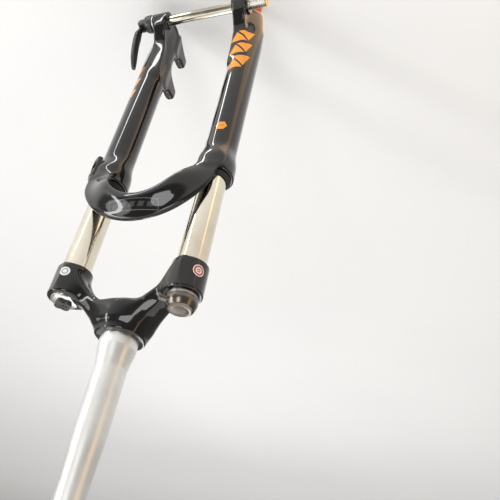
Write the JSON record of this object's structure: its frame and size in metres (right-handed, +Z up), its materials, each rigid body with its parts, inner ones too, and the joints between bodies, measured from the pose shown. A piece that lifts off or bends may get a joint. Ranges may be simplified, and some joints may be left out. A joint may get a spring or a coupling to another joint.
{
  "type": "suspension fork",
  "caption": "Coil-sprung bicycle suspension fork: tapered steerer, wishbone crown, sliding lower legs with a front arch, disc-brake posts and a through axle with a quick-release lever.",
  "frame": {"origin": "on the steerer's axis, at the crown race seat (the top face of the crown's hub)", "axes": "+Z up the steerer, +X towards the rider's left (the disc-brake side), -Y forward, towards the side the arch and the wheel axle stand out on"},
  "size_m": [0.204, 0.0922, 0.8096],
  "materials": {
    "paint": "gloss",
    "polished": "polished",
    "silver": "satin",
    "steel": "satin",
    "bronze": "anodised",
    "black": "matte",
    "rubber": "matte",
    "red": "anodised",
    "bush": "dull"
  },
  "bodies": {
    "upper": {"steerer_tube": "silver", "crown": "paint", "stanchion_left": "polished", "stanchion_right": "polished", "spring_top_cap": "silver", "coil_spring": "steel", "spring_end_plug": "black", "damper_top_cap": "steel", "damper_cartridge": "steel", "compression_valve": "bronze", "damper_seal_head": "black"},
    "preload_knob": {"preload_knob": "black"},
    "preload_plunger": {"preload_plunger": "steel"},
    "lockout_lever": {"lockout_lever": "bronze", "lockout_spool": "steel"},
    "lowers": {"lower_casting": "paint", "wiper_seal_left": "rubber", "wiper_seal_right": "rubber", "slide_bush_upper_left": "bush", "slide_bush_upper_right": "bush", "slide_bush_lower_left": "bush", "slide_bush_lower_right": "bush", "spring_seat": "black", "spring_rod": "steel", "top_out_bumper": "rubber", "bottom_out_bumper": "rubber", "spring_foot_bolt": "steel", "damper_rod": "steel", "damper_piston": "bronze", "damper_foot_nut": "steel", "hose_guide": "paint", "hose_guide_screw": "silver"},
    "rebound_knob": {"rebound_knob": "red", "rebound_needle": "steel"},
    "axle": {"axle_tube": "polished", "axle_end_sleeve": "silver", "axle_washer": "steel"},
    "pull_rod": {"axle_pull_rod": "steel"},
    "lever_head": {"lever_housing": "black", "lever_pivot_pin": "steel"},
    "release_lever": {"quick_release_lever": "black"}
  },
  "joints": [
    {"name": "fork_travel", "type": "slide", "parent": "upper", "child": "lowers", "axis": [0, 0, 1], "range_m": [0, 0.1], "deforming": ["coil_spring"]},
    {"name": "preload_turn", "type": "hinge", "parent": "upper", "child": "preload_knob", "pos_m": [0.0704, -0.0192, -0.03], "axis": [0, 0, -1], "range_deg": [0, 720]},
    {"name": "preload_slide", "type": "slide", "parent": "upper", "child": "preload_plunger", "axis": [0, 0, -1], "range_m": [0, 0.008]},
    {"name": "lockout_turn", "type": "hinge", "parent": "upper", "child": "lockout_lever", "pos_m": [-0.0704, -0.0192, -0.03], "axis": [0, 0, -1], "range_deg": [0, 90]},
    {"name": "rebound_turn", "type": "hinge", "parent": "lowers", "child": "rebound_knob", "pos_m": [-0.0704, -0.0192, -0.54], "axis": [0, 0, 1], "range_deg": [0, 720]},
    {"name": "axle_slide", "type": "slide", "parent": "lowers", "child": "axle", "axis": [1, 0, 0], "range_m": [0, 0.18]},
    {"name": "lever_head_turn", "type": "hinge", "parent": "axle", "child": "lever_head", "pos_m": [0.077, -0.0523, -0.5075], "axis": [1, 0, 0], "continuous": true},
    {"name": "lever_flip", "type": "hinge", "parent": "lever_head", "child": "release_lever", "pos_m": [0.097, -0.0523, -0.5075], "axis": [0, 1, 0], "range_deg": [0, 180]},
    {"name": "pull_rod_slide", "type": "slide", "parent": "axle", "child": "pull_rod", "axis": [-1, 0, 0], "range_m": [0, 0.002]}
  ],
  "couplings": [
    {"joint": "preload_turn", "follows": "preload_slide", "rad_per_m": 1570.8},
    {"joint": "pull_rod_slide", "follows": "lever_flip", "m_per_rad": 0.00063661}
  ]
}
